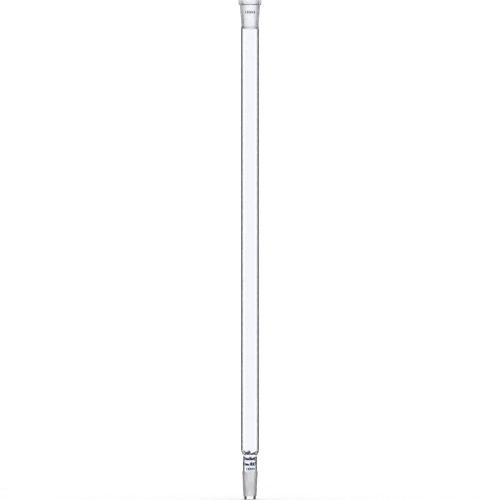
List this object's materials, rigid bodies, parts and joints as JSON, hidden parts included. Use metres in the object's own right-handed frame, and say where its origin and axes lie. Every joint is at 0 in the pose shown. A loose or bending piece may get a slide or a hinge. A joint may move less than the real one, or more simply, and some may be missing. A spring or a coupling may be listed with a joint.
{
  "type": "packed distilling column",
  "caption": "Plain glass column for fractional distillation, with a ground socket at the top, a ground cone and drip end at the bottom, and inward thorns that hold up its packing.",
  "frame": {"origin": "on the column's axis, in the plane where the ground cone is widest, its gauge plane", "axes": "+Z along the column's axis, up towards the socket; -Y faces the reader of the size marks"},
  "size_m": [0.0218, 0.0218, 0.4702],
  "materials": {
    "clear_glass": "clear, flame polished borosilicate",
    "ground_glass": "borosilicate with a fine ground taper",
    "mark_enamel": "fired enamel, satin"
  },
  "bodies": {
    "root": {"drip_end": "clear_glass", "cone_joint": "ground_glass", "neck_size_mark": "mark_enamel", "indented_neck": "clear_glass", "thorns_bottom_row": "clear_glass", "thorns_middle_row": "clear_glass", "thorns_top_row": "clear_glass", "column_tube": "clear_glass", "socket_joint": "ground_glass", "socket_size_mark": "mark_enamel", "socket_rim": "clear_glass"}
  },
  "joints": []
}
